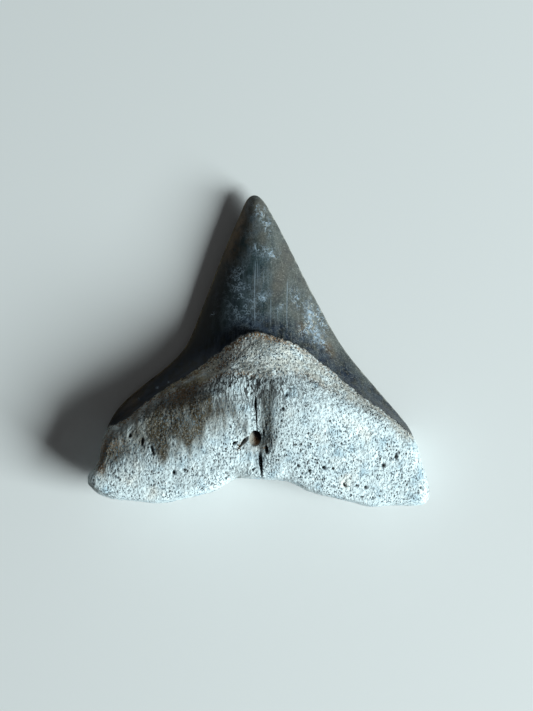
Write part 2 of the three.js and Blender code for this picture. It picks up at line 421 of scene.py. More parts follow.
@dataclass
class ToothBody:
    """The whole fossil as one closed mesh, carved from the frame's solid."""

    weld: float = 0.002
    flat_angle: float = 40.0
    square_angle: float = 60.0
    voxel: float = 0.169
    subdivisions: int = 2
    relaxing: int = 3
    relaxed_share: float = 0.4
    rim_passes: int = 2
    crown_sink: float = 0.05
    root_step: float = 0.38
    band_step: float = 0.025
    ridge_height: float = 0.13
    swell_height: float = 0.05
    slit_depth: float = 0.06
    crinkle_depth: float = 0.065
    pore_depth: float = 0.12
    foramen_depth: float = 0.85
    canal_slant: float = 0.15
    shoulder_lift: float = 1.5
    square_radius: float = 0.35
    round_radius: float = 1.2
    unit: float = field(init=False)
    surface: BVHTree = field(init=False)
    rim: list[Vector] = field(init=False)
    masks: dict[Mask, np.ndarray] = field(init=False)

    def __post_init__(self) -> None:
        """Takes the size of a tooth millimetre from the frame."""
        low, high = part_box(NODE)
        self.unit = (high.x - low.x) / TOOTH_WIDTH

    def build(self) -> bpy.types.Object:
        """Models the tooth and hands it to the frame.

        Returns:
            The finished piece, which stands for the frame's node.
        """
        smooth_mesh = self.smooth_copy()
        body = bmesh.new()
        body.from_mesh(smooth_mesh)
        bpy.data.meshes.remove(smooth_mesh)
        self.refine(body, self.on_show)
        self.refine(body, self.by_canal)
        self.snap(body)
        self.fit_to_frame(body)
        self.lay_out(body)
        self.carve(body)
        bmesh.ops.scale(body, vec=Vector((self.unit,) * 3), verts=body.verts)
        mesh = bpy.data.meshes.new("fossil_tooth")
        body.to_mesh(mesh)
        body.free()
        self.store_masks(mesh)
        mesh.shade_smooth()
        piece = bpy.data.objects.new("fossil_tooth", mesh)
        bpy.context.scene.collection.objects.link(piece)
        return piece

    def welded_copy(self) -> bpy.types.Mesh:
        """Copies the frame's solid with its triangles paired into squares.

        Returns:
            The copy, in tooth millimetres, whose outline is creased so that it stays sharp.
        """
        solid = bmesh.new()
        solid.from_mesh(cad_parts[NODE].data)
        bmesh.ops.scale(solid, vec=Vector((1 / self.unit,) * 3), verts=solid.verts)
        bmesh.ops.remove_doubles(solid, verts=solid.verts, dist=self.weld)
        bmesh.ops.join_triangles(
            solid,
            faces=solid.faces,
            angle_face_threshold=math.radians(self.flat_angle),
            angle_shape_threshold=math.radians(self.square_angle),
        )
        crease = solid.edges.layers.float.new("crease_edge")
        solid.normal_update()
        for edge in solid.edges:
            over, under = (face.normal.z for face in edge.link_faces)
            edge[crease] = 1.0 if over * under < 0 else 0.0
        mesh = bpy.data.meshes.new("solid")
        solid.to_mesh(mesh)
        solid.free()
        return mesh

    def smooth_copy(self) -> bpy.types.Mesh:
        """Rounds the frame's facets away and spreads even faces over the tooth.

        Returns:
            A mesh of nearly square faces, in tooth millimetres.
        """
        mesh = self.welded_copy()
        holder = bpy.data.objects.new("solid", mesh)
        bpy.context.scene.collection.objects.link(holder)
        rounding = holder.modifiers.new("rounding", "SUBSURF")
        rounding.levels = rounding.render_levels = self.subdivisions
        depsgraph = bpy.context.evaluated_depsgraph_get()
        self.surface = BVHTree.FromObject(holder, depsgraph)
        self.rim = self.rim_of(holder.evaluated_get(depsgraph).to_mesh())
        evening = holder.modifiers.new("evening", "REMESH")
        evening.mode = "VOXEL"
        evening.voxel_size = self.voxel
        depsgraph = bpy.context.evaluated_depsgraph_get()
        smooth = bpy.data.meshes.new_from_object(holder.evaluated_get(depsgraph))
        bpy.data.objects.remove(holder)
        bpy.data.meshes.remove(mesh)
        return smooth

    def refine(
        self, body: bmesh.types.BMesh, wanted: Callable[[np.ndarray, np.ndarray], np.ndarray]
    ) -> None:
        """Halves the faces wherever detail is wanted, and relaxes them.

        Args:
            body: the mesh to refine.
            wanted: tells from places and how far they face up which of them need detail.
        """
        fine = wanted(self.places(body), self.normals(body)[:, 2])
        edges = [edge for edge in body.edges if all(fine[vert.index] for vert in edge.verts)]
        bmesh.ops.subdivide_edges(body, edges=edges, cuts=1, use_grid_fill=True)
        fine = wanted(self.places(body), self.normals(body)[:, 2])
        detailed = [vert for vert in body.verts if fine[vert.index]]
        axes = {"use_axis_x": True, "use_axis_y": True, "use_axis_z": True}
        for _ in range(self.relaxing):
            bmesh.ops.smooth_vert(body, verts=detailed, factor=self.relaxed_share, **axes)

    @staticmethod
    def on_show(places: np.ndarray, facing: np.ndarray) -> np.ndarray:
        """Tells which places are on the root's inner face or along the crown's edges.

        Args:
            places: one row of x, y and z for each place.
            facing: how far each place faces up, from -1 to 1.

        Returns:
            True for each place that is.
        """
        depth = INNER_CROWN_LINE.depth(places)
        margin = 0.3
        return ((depth > -margin) & (facing > 0.2)) | ((depth < margin) & (np.abs(facing) < 0.55))

    @staticmethod
    def by_canal(places: np.ndarray, facing: np.ndarray) -> np.ndarray:
        """Tells which places are near the foramen, its groove and the crack above it."""
        return (np.hypot(*CANAL_ZONE.local(places)) < 1.0) & (facing > 0.2)

    @staticmethod
    def rim_of(mesh: bpy.types.Mesh) -> list[Vector]:
        """Gathers places along the line that parts the faces looking up from those looking down.

        Args:
            mesh: the closed mesh whose outline to follow.

        Returns:
            The places, a few for each edge of the outline.
        """
        body = bmesh.new()
        body.from_mesh(mesh)
        places = []
        per_edge = 8
        for edge in body.edges:
            over, under = (face.normal.z for face in edge.link_faces)
            if over * under < 0:
                start, end = (vert.co for vert in edge.verts)
                places += [start.lerp(end, step / per_edge) for step in range(per_edge)]
        body.free()
        return places

    @staticmethod
    def tree_of(places: Sequence[Vector]) -> KDTree:
        """Sorts places so that the nearest of them is found fast.

        Args:
            places: the places to sort.

        Returns:
            The tree that holds them.
        """
        tree = KDTree(len(places))
        for i, place in enumerate(places):
            tree.insert(place, i)
        tree.balance()
        return tree

    def snap(self, body: bmesh.types.BMesh) -> None:
        """Puts the vertices back on the smooth surface, and the outermost ones on its outline.

        Args:
            body: the mesh whose vertices move.
        """
        for vert in body.verts:
            vert.co = self.surface.find_nearest(vert.co)[0]
        rim = self.tree_of(self.rim)
        for _ in range(self.rim_passes):
            body.normal_update()
            for vert in body.verts:
                facing = [face.normal.z for face in vert.link_faces]
                if min(facing) < 0 < max(facing):
                    vert.co = rim.find(vert.co)[0]

    def frame_box(self) -> tuple[np.ndarray, np.ndarray]:
        """Gives the lowest and the highest corner of the frame's solid."""
        low, high = (np.array(corner) / self.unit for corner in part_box(NODE))
        return low, high

    def fit_to_frame(self, body: bmesh.types.BMesh) -> None:
        """Gives the smoothed body the frame's exact width, height and thickness again.

        Args:
            body: the mesh to fit.
        """
        low, high = self.frame_box()
        places = self.places(body)
        ratio = (high - low) / (places.max(0) - places.min(0))
        bmesh.ops.translate(body, vec=Vector(-places.min(0)), verts=body.verts)
        bmesh.ops.scale(body, vec=Vector(ratio), verts=body.verts)
        bmesh.ops.translate(body, vec=Vector(low), verts=body.verts)

    @staticmethod
    def places(body: bmesh.types.BMesh) -> np.ndarray:
        """Gives the vertices' places, one row each."""
        body.verts.index_update()
        return np.array([vert.co[:] for vert in body.verts])

    @staticmethod
    def normals(body: bmesh.types.BMesh) -> np.ndarray:
        """Gives the vertices' normals, one row each."""
        body.normal_update()
        return np.array([vert.normal[:] for vert in body.verts])

    def lay_out(self, body: bmesh.types.BMesh) -> None:
        """Unwraps the inner and the outer face side by side, with their sides leaned outwards.

        Args:
            body: the mesh to unwrap.
        """
        places = self.places(body)
        normals = self.normals(body)
        lean = 0.6
        gap = 1.0
        flat = places[:, :2] + lean * normals[:, :2]
        reach = TOOTH_WIDTH + 2 * lean + gap
        layer = body.loops.layers.uv.new("OFBake")
        for face in body.faces:
            is_inner = face.normal.z >= 0
            for loop in face.loops:
                x, y = flat[loop.vert.index]
                u = 0.25 + 0.5 * x / reach if is_inner else 0.75 - 0.5 * x / reach
                loop[layer].uv = (u, 0.5 + y / reach)

    def carve(self, body: bmesh.types.BMesh) -> None:
        """Cuts the root's pores, pits and grooves, and sinks the crown behind the root's edge.

        Args:
            body: the mesh to carve.
        """
        places = self.places(body)
        normals = self.normals(body)
        zones = Zones.found(places, normals[:, 2])
        relief = Relief(len(places))
        self.cut_steps(relief, zones)
        self.cut_pores(relief, zones)
        relief.cut(-zones.inner * zones.root * together(RIDGES, places), self.ridge_height, 0.0)
        # Pits and cracks get floors painted fully dark: grime and painted shade.
        for pit in PITS + CRACKS:
            relief.cut(pit.filled(places) * zones.inner, pit.strength)
        mouth, slant = self.cut_foramen(relief, zones)
        self.masks = self.masks_of(zones, relief, mouth)

        moved = places + normals * relief.lift[:, None]
        moved[:, 1] += self.canal_slant * smoothstep(0.6, 1.0, mouth) * slant
        inset = self.inset(places)
        raised = self.squared(places, inset) + self.stepped(places[:, 0], zones.depth, inset)
        moved[:, 2] += raised * zones.root * zones.inner
        low, high = self.frame_box()
        for vert, place in zip(body.verts, np.clip(moved, low, high)):
            vert.co = place

    def masks_of(self, zones: Zones, relief: Relief, mouth: np.ndarray) -> dict[Mask, np.ndarray]:
        """Works out the masks that the finish reads.

        Args:
            zones: where each place is.
            relief: what was cut, and how dark its hollows are painted, for grime and painted shade.
            mouth: 1 inside the foramen, 0 outside it.

        Returns:
            Each mask's value at each place.
        """
        places, inner, depth = zones.places, zones.inner, zones.depth
        spots = {Mask.RUST: RUST, Mask.BLOOM: BLOOM, Mask.CHALK: CHALK}
        # Painted shade and smoky stain on the root, smoke on the crown.
        smoky_shade = np.where(depth > 0, together(SHADE_AND_SMOKE, places), together(SMOKE, places))
        return {
            Mask.ROOT_DEPTH: depth,
            Mask.BAND_DEPTH: inner * zones.band + 3.0 * (1 - inner),
            Mask.COMB: zones.comb,
            Mask.SMOOTH: zones.smooth,
            Mask.CANAL: mouth,
            Mask.GRIME_AND_SHADE: np.clip(relief.dirt_and_shade, 0.0, 1.0),
            Mask.EDGE: self.to_rim(places) + 2.0 * zones.root,
            Mask.SHADE_AND_SMOKE: smoky_shade * inner,
            Mask.OCHRE: self.stained(zones) * inner,
        } | {mask: together(patches, places) * inner for mask, patches in spots.items()}

    def inset(self, places: np.ndarray) -> np.ndarray:
        """Works out how far in from the tooth's outline places are, as seen from above.

        Args:
            places: one row of x, y and z for each place.

        Returns:
            The distance of each place.
        """
        flat = np.array((1.0, 1.0, 0.0))
        tree = self.tree_of([place * Vector(flat) for place in self.rim])
        return sampled(places * flat, lambda place: tree.find(place)[2])

    def to_rim(self, places: np.ndarray) -> np.ndarray:
        """Works out how far places are from the nearest point of the tooth's outline."""
        tree = self.tree_of(self.rim)
        return sampled(places, lambda place: tree.find(place)[2])

    def squared(self, places: np.ndarray, inset: np.ndarray) -> np.ndarray:
        """Works out how far the root is raised near its outline, which makes its edge squarer.

        Args:
            places: one row of x, y and z for each place.
            inset: how far in from the outline each place is.

        Returns:
            The rise of each place.
        """
        squarer = self.rounded(inset / self.square_radius) - self.rounded(inset / self.round_radius)
        return self.shoulder_lift * squarer + KNOB.blurred(places) * smoothstep(0.0, 0.3, inset)

    def stepped(self, x: np.ndarray, depth: np.ndarray, inset: np.ndarray) -> np.ndarray:
        """Works out how far the root stands above the crown along the line between them.

        Args:
            x: how far across the tooth each place is.
            depth: how far below the crown's line it is.
            inset: how far in from the outline it is.

        Returns:
            The rise of each place, which fades out down the root.
        """
        reach = 4.6 - 1.8 * smoothstep(3.0, 8.0, np.abs(x))
        height = self.root_step * (1 + 0.9 * np.exp(-(((x + 1.5) / 3.0) ** 2)))
        return height * (1 - smoothstep(0.3, reach, depth)) * smoothstep(0.0, 0.6, inset)

    @staticmethod
    def rounded(share: np.ndarray) -> np.ndarray:
        """Gives the rise of a quarter circle, from 0 at 0 to 1 at 1."""
        across = np.clip(share, 0.0, 1.0)
        return np.sqrt(across * (2.0 - across))

    @staticmethod
    def stained(zones: Zones) -> np.ndarray:
        """Works out the ochre stains: spots, the root's upper edge and the lower edge of its band.

        Args:
            zones: where each place is.

        Returns:
            1 where the stain is full, 0 where there is none.
        """
        x = zones.places[:, 0]
        near_apex = np.exp(-(((x + 1.4) / 4.5) ** 2))
        edge = np.exp(-(((zones.depth - 0.14) / (0.26 + 0.12 * near_apex)) ** 2))
        edge = edge * (0.5 + 0.7 * near_apex)
        line = (0.35 + 0.65 * smoothstep(1.0, -1.0, x)) * np.exp(-((zones.band / 0.2) ** 2))
        spots = together(OCHRE, zones.places)
        return np.clip(np.maximum(spots, np.maximum(edge, line)), 0.0, 1.0)

    def cut_steps(self, relief: Relief, zones: Zones) -> None:
        """Sinks the crown behind the root's edge, and the root below its rough band.

        Args:
            relief: the relief to cut into.
            zones: where each place is.
        """
        behind = np.exp(np.minimum(zones.depth, 0.0) / 0.2)
        relief.cut((1 - zones.root) * behind, self.crown_sink, 0.0)
        step = smoothstep(-0.1, 0.15, zones.band) * (1 - smoothstep(0.3, 1.2, zones.band))
        relief.cut(step * zones.root * zones.inner, self.band_step, 0.0)

    def cut_pores(self, relief: Relief, zones: Zones) -> None:
        """Cuts everything that is small and all over the root.

        Args:
            relief: the relief to cut into.
            zones: where each place is.
        """
        places = zones.places
        porous = zones.root * (1 - 0.8 * zones.smooth)
        swell = sampled(places * 0.55, lambda p: noise.fractal(p, 0.8, 2.1, 3))
        relief.cut(-porous * (1.0 + swell), self.swell_height, 0.0)
        # The last number of a cut is how dark its floor is painted: grime and painted shade.
        relief.cut(porous * zones.comb * self.slits(places), self.slit_depth, 0.3)
        plain = porous * (1 - 0.5 * zones.comb)
        relief.cut(plain * self.crinkles(places), self.crinkle_depth, 0.0)
        pores = sampled(places * np.array((3.0, 1.9, 3.0)), self.pore)
        relief.cut(plain * pores, self.pore_depth, 0.5)

    def cut_foramen(self, relief: Relief, zones: Zones) -> tuple[np.ndarray, np.ndarray]:
        """Cuts the foramen, whose canal slants in towards the crown.

        Args:
            relief: the relief to cut into.
            zones: where each place is.

        Returns:
            1 inside the mouth and 0 outside it, and how deep the canal is there, from 0 to 1.
        """
        mouth = FORAMEN.filled(zones.places, 0.25) * zones.inner
        along, across = FORAMEN.local(zones.places)
        slant = smoothstep(-0.7, 1.1, along + 0.8 * across)
        relief.cut(mouth * (0.2 + 0.8 * slant * slant), self.foramen_depth, 0.0)
        # Painted shade in the deep, slanting part of the canal.
        relief.dirt_and_shade += mouth * smoothstep(0.28, 0.6, slant)
        return mouth, slant

    @staticmethod
    def slits(places: np.ndarray) -> np.ndarray:
        """Gives how far inside one of the root's upright slits each place is, from 0 to 1.

        Args:
            places: one row of x, y and z for each place.

        Returns:
            A share for each place.
        """
        stretched = places * np.array((6.5, 1.8, 2.5))
        stretched[:, 0] += 0.5 * sampled(places * 1.4, noise.noise)
        return smoothstep(0.14, 0.34, sampled(stretched, noise.noise))

    @staticmethod
    def crinkles(places: np.ndarray) -> np.ndarray:
        """Gives the depth of the fine relief all over the root at each place, from 0 to 1.

        Args:
            places: one row of x, y and z for each place.

        Returns:
            A share for each place.
        """
        grain = sampled(places * np.array((7.0, 4.6, 5.6)), noise.noise)
        coarse = sampled(places * np.array((2.0, 1.4, 1.8)), noise.noise)
        return np.clip(0.5 + 0.9 * grain + 0.4 * coarse, 0.0, 1.0)

    @staticmethod
    def pore(place: Vector) -> float:
        """Gives how far inside one of the root's larger pores a place is, from 0 to 1.

        Args:
            place: the place on the tooth, scaled so that the pores are about 1 apart.

        Returns:
            The share.
        """
        distances, centres = noise.voronoi(place)
        radius = 0.42 * abs(noise.noise(centres[0] * 5.7))
        return max(0.0, 1.0 - (distances[0] / max(radius, 0.01)) ** 2)

    def store_masks(self, mesh: bpy.types.Mesh) -> None:
        """Writes the masks as attributes that the finish reads.

        Args:
            mesh: the tooth's mesh.
        """
        for mask, values in self.masks.items():
            attribute = mesh.attributes.new(mask.value, "FLOAT", "POINT")
            attribute.data.foreach_set("value", values.astype(np.float32))


class NodeTree:
    """A node tree with short calls to add and link nodes."""

    def __init__(self, tree: bpy.types.NodeTree) -> None:
        """Starts from an empty tree."""
        self.tree = tree
        self.tree.nodes.clear()

    def add(self, kind: str, inputs: dict | None = None, **settings: object) -> bpy.types.Node:
        """Adds a node.

        Args:
            kind: the node's type name.
            inputs: a value or a socket to link, for each input by name or number.
            settings: the node's own properties.

        Returns:
            The new node.
        """
        node = self.tree.nodes.new(kind)
        for name, setting in settings.items():
            setattr(node, name, setting)
        for name, value in (inputs or {}).items():
            if isinstance(value, Socket):
                self.tree.links.new(value, node.inputs[name])
            else:
                node.inputs[name].default_value = value
        return node

    def maths(self, operation: str, *values: object) -> Socket:
        """Adds a Math node and gives its result."""
        return self.add("ShaderNodeMath", dict(enumerate(values)), operation=operation).outputs[0]

    def ramp(self, value: object, low: float, high: float) -> Socket:
        """Adds a smooth rise from 0 at low to 1 at high and gives its result."""
        inputs = {"Value": value, "From Min": low, "From Max": high}
        return self.add("ShaderNodeMapRange", inputs, interpolation_type="SMOOTHSTEP").outputs[0]

    def blend(self, share: object, under: object, over: object) -> Socket:
        """Adds a mix of two values and gives its result."""
        values = {0: share, 2: under, 3: over}
        return self.add("ShaderNodeMix", values, data_type="FLOAT").outputs[0]

    def mix(self, share: object, under: object, over: object) -> Socket:
        """Adds a colour mix.

        Args:
            share: how much of the upper colour shows.
            under: the lower colour, as a colour or a socket.
            over: the upper colour, as a colour or a socket.

        Returns:
            The mixed colour's socket.
        """
        colours = [(*tint, 1.0) if isinstance(tint, tuple) else tint for tint in (under, over)]
        values = {0: share, 6: colours[0], 7: colours[1]}
        return self.add("ShaderNodeMix", values, data_type="RGBA").outputs[2]

    def layered(self, colour: object, layers: Layers) -> Socket:
        """Lays colours over one another.

        Args:
            colour: the lowest colour, as a colour or a socket.
            layers: the mask and the colour of each layer, from the lowest up.

        Returns:
            The socket of the colour that shows.
        """
        for share, over in layers:
            colour = self.mix(share, colour, over)
        return colour

    def mask(self, mask: Mask) -> Socket:
        """Adds an Attribute node for one of the body's masks and gives its value."""
        return self.add("ShaderNodeAttribute", attribute_name=mask.value).outputs["Fac"]

    def stretched(self, place: object, x: float, y: float, z: float) -> Socket:
        """Adds a Mapping that scales a place along each axis and gives its result."""
        return self.add("ShaderNodeMapping", {"Vector": place, "Scale": (x, y, z)}).outputs[0]

    def wobbled(self, place: object, scale: float, amount: float) -> Socket:
        """Shifts a place by noise, to make what is drawn there irregular.

        Args:
            place: the place to shift.
            scale: how fine the noise is.
            amount: how far the noise shifts it.

        Returns:
            The shifted place's socket.
        """
        wobble = self.add("ShaderNodeTexNoise", {"Vector": place, "Scale": scale, "Detail": 1.0})
        inputs = {0: wobble.outputs["Color"], 1: (amount,) * 3, 2: place}
        return self.add("ShaderNodeVectorMath", inputs, operation="MULTIPLY_ADD").outputs[0]

    def times(self, *shares: object) -> Socket:
        """Multiplies values.

        Args:
            shares: two or more numbers or sockets.

        Returns:
            The product's socket.
        """
        product = shares[0]
        for share in shares[1:]:
            product = self.maths("MULTIPLY", product, share)
        return product

    def noise(self, place: object, scale: float, detail: float, distortion: float = 0.0) -> Socket:
        """Adds a Noise Texture and gives its value."""
        inputs = {"Vector": place, "Scale": scale, "Detail": detail, "Distortion": distortion}
        return self.add("ShaderNodeTexNoise", inputs).outputs[0]

    def spots(self, place: object, scale: float, detail: float, low: float, high: float) -> Socket:
        """Adds noise with a rise over it, which gives spots, and gives its result."""
        return self.ramp(self.noise(place, scale, detail), low, high)


@dataclass(frozen=True)
class RootStone:
    """The root: pale, porous, fossilised dentine with ochre stains, painted shade in its hollows
    and a smoky stain with painted shade over its upper left.
    """

    pale: Colour = (0.76, 0.86, 0.88)
    blue: Colour = (0.46, 0.60, 0.67)
    cream: Colour = (0.86, 0.86, 0.80)
    beige: Colour = (0.60, 0.60, 0.54)
    olive: Colour = (0.44, 0.36, 0.19)
    shade: Colour = (0.15, 0.20, 0.23)
    # Colours of the dark patches, which are partly stain and partly painted shade.
    smoky_shade: Colour = (0.075, 0.084, 0.080)
    brown_smoky_shade: Colour = (0.074, 0.058, 0.034)
    ochre: Colour = (0.19, 0.105, 0.045)
    # The canal's lining: orange-brown where its wall faces the light, grey-beige elsewhere; partly
    # its colour, partly painted light.
    canal: Colour = (0.36, 0.17, 0.06)
    canal_wall: Colour = (0.33, 0.30, 0.25)
    # Painted shade and grime in pores, slits and the floors of cuts.
    dark: Colour = (0.03, 0.03, 0.03)
    pores_per_mm: float = 5.0
    widest_pore: float = 0.44

    def colour(self, nodes: NodeTree, place: Socket) -> Socket:
        """Builds the root's colour.

        Args:
            nodes: the material's tree.
            place: the place on the tooth, in millimetres.

        Returns:
            The colour's socket.
        """
        x = nodes.add("ShaderNodeSeparateXYZ", {0: place}).outputs[0]
        in_band = nodes.ramp(nodes.mask(Mask.BAND_DEPTH), 0.1, -0.2)
        colour = nodes.layered(self.pale, self.ground(nodes, place, x, in_band))
        colour = nodes.layered(colour, self.stains(nodes, place, x, in_band))
        return nodes.layered(colour, self.hollows(nodes, place, x))

    def ground(self, nodes: NodeTree, place: Socket, x: Socket, in_band: Socket) -> Layers:
        """Builds the stone's own colours: blue and cream patches, and the rough band.

        Args:
            nodes: the material's tree.
            place: the place on the tooth, in millimetres.
            x: how far across the tooth that is.
            in_band: 1 in the rough band, 0 outside it.

        Returns:
            The layers, from the lowest up.
        """
        tint = nodes.mix(nodes.ramp(x, -2.0, -5.0), self.beige, self.olive)
        depth = nodes.mask(Mask.ROOT_DEPTH)
        along = {0: nodes.times(x, 0.6), 1: nodes.times(depth, 3.6)}
        arcs = nodes.spots(nodes.add("ShaderNodeCombineXYZ", along).outputs[0], 1.0, 3.0, 0.5, 0.66)
        creamy = nodes.spots(nodes.stretched(place, 0.5, 0.5, 0.5), 0.9, 4.0, 0.56, 0.78)
        return (
            (nodes.spots(place, 0.8, 4.0, 0.48, 0.76), self.blue),
            (creamy, self.cream),
            (nodes.times(in_band, nodes.spots(place, 1.6, 3.0, 0.3, 0.6), 0.9), tint),
            (nodes.times(in_band, arcs, 0.5), self.cream),
        )

    def stains(self, nodes: NodeTree, place: Socket, x: Socket, in_band: Socket) -> Layers:
        """Builds the stains: smoky stain with painted shade that runs down in drips, the pale
        grains left in it, and ochre.

        Args:
            nodes: the material's tree.
            place: the place on the tooth, in millimetres.
            x: how far across the tooth that is.
            in_band: 1 in the rough band, 0 outside it.

        Returns:
            The layers, from the lowest up.
        """
        # Painted shade and smoky stain, run down in drips and browner to the left.
        smoky_shade = nodes.mask(Mask.SHADE_AND_SMOKE)
        drips = nodes.noise(nodes.stretched(place, 1.7, 0.5, 1.0), 1.0, 3.0)
        drips = nodes.maths("MULTIPLY_ADD", drips, 1.7, nodes.maths("SUBTRACT", smoky_shade, 0.76))
        drips = nodes.times(nodes.ramp(drips, 0.0, 1.2), nodes.ramp(smoky_shade, 0.0, 0.3))
        dark = nodes.mix(nodes.ramp(x, 1.5, -3.0), self.smoky_shade, self.brown_smoky_shade)
        grains = nodes.spots(nodes.stretched(place, 9.5, 7.5, 8.0), 1.0, 1.0, 0.54, 0.66)
        dull = nodes.maths("MAXIMUM", nodes.times(in_band, 0.45), nodes.times(smoky_shade, 0.2))
        ochre = nodes.times(nodes.mask(Mask.OCHRE), nodes.spots(place, 7.0, 3.0, 0.4, 0.54))
        return (drips, dark), (nodes.times(grains, dull), self.cream), (ochre, self.ochre)

    def hollows(self, nodes: NodeTree, place: Socket, x: Socket) -> Layers:
        """Builds the grime and painted shade in the valleys, pores, slits and cuts, and the canal's
        lining.

        Args:
            nodes: the material's tree.
            place: the place on the tooth, in millimetres.
            x: how far across the tooth that is.

        Returns:
            The layers, from the lowest up.
        """
        bare = nodes.ramp(nodes.mask(Mask.SMOOTH), 1.0, 0.1)
        uneven = nodes.blend(nodes.spots(place, 0.6, 2.0, 0.38, 0.58), 0.35, 0.95)
        # The side of the canal's wall that faces the light, where the lining is painted
        # orange-brown.
        facing_light = nodes.maths("MULTIPLY_ADD", nodes.noise(place, 5.0, 3.0), 0.4, x)
        lining = nodes.mix(nodes.ramp(facing_light, -0.25, 0.05), self.canal_wall, self.canal)
        return (
            (nodes.times(self.valleys(nodes, place), bare, uneven), self.shade),
            (nodes.times(self.pores(nodes, place), bare, uneven), self.dark),
            (nodes.times(self.fibres(nodes, place), bare, 0.95), self.dark),
            (nodes.times(nodes.mask(Mask.CANAL), 0.9), lining),
            (nodes.mask(Mask.GRIME_AND_SHADE), self.dark),
        )

    def grain(self, nodes: NodeTree, place: Socket) -> Socket:
        """Builds the mask of the finest pores, slits and valleys.

        Args:
            nodes: the material's tree.
            place: the place on the tooth, in millimetres.

        Returns:
            The mask's socket, which is 1 inside them.
        """
        valleys = nodes.times(self.valleys(nodes, place), 0.6)
        rough = nodes.maths("MAXIMUM", self.pores(nodes, place), valleys)
        rough = nodes.maths("MAXIMUM", rough, self.fibres(nodes, place))
        return nodes.times(rough, nodes.ramp(nodes.mask(Mask.SMOOTH), 1.0, 0.1))

    def valleys(self, nodes: NodeTree, place: Socket) -> Socket:
        """Builds the mask of the valleys between the grains; they are fainter on the comb."""
        plain = nodes.spots(nodes.stretched(place, 9.0, 6.0, 8.0), 1.0, 1.5, 0.48, 0.36)
        return nodes.times(plain, nodes.maths("MULTIPLY_ADD", nodes.mask(Mask.COMB), -0.4, 1.0))

    def fibres(self, nodes: NodeTree, place: Socket) -> Socket:
        """Builds the mask of the fine upright slits that comb the root below its rough band.

        Args:
            nodes: the material's tree.
            place: the place on the tooth, in millimetres.

        Returns:
            The mask's socket, which is 1 inside them.
        """
        drawn = nodes.stretched(nodes.wobbled(place, 3.0, 0.2), 4.8, 1.1, 2.0)
        waves = nodes.maths("SUBTRACT", nodes.noise(drawn, 1.0, 1.0), 0.5)
        slits = nodes.ramp(nodes.maths("ABSOLUTE", waves), 0.07, 0.03)
        return nodes.times(slits, nodes.mask(Mask.COMB))

    def pores(self, nodes: NodeTree, place: Socket) -> Socket:
        """Builds the mask of the round pores; there are fewer on the comb.

        Args:
            nodes: the material's tree.
            place: the place on the tooth, in millimetres.

        Returns:
            The mask's socket, which is 1 inside them.
        """
        shifted = nodes.stretched(nodes.wobbled(place, 6.0, 0.14), 1.1, 0.75, 1.0)
        cells = nodes.add("ShaderNodeTexVoronoi", {"Vector": shifted, "Scale": self.pores_per_mm})
        chance = nodes.add("ShaderNodeSeparateColor", {0: cells.outputs["Color"]})
        radius = nodes.times(chance.outputs[0], self.widest_pore)
        inside = nodes.maths("SUBTRACT", radius, cells.outputs["Distance"])
        fewer = nodes.maths("MULTIPLY_ADD", nodes.mask(Mask.COMB), -0.6, 1.0)
        return nodes.times(nodes.ramp(inside, -0.06, 0.14), fewer)


@dataclass(frozen=True)
class Hairline:
    """A fine pale line up the crown."""

    x: float
    low: float
    high: float
    lean: float = 0.0
    strength: float = 0.2


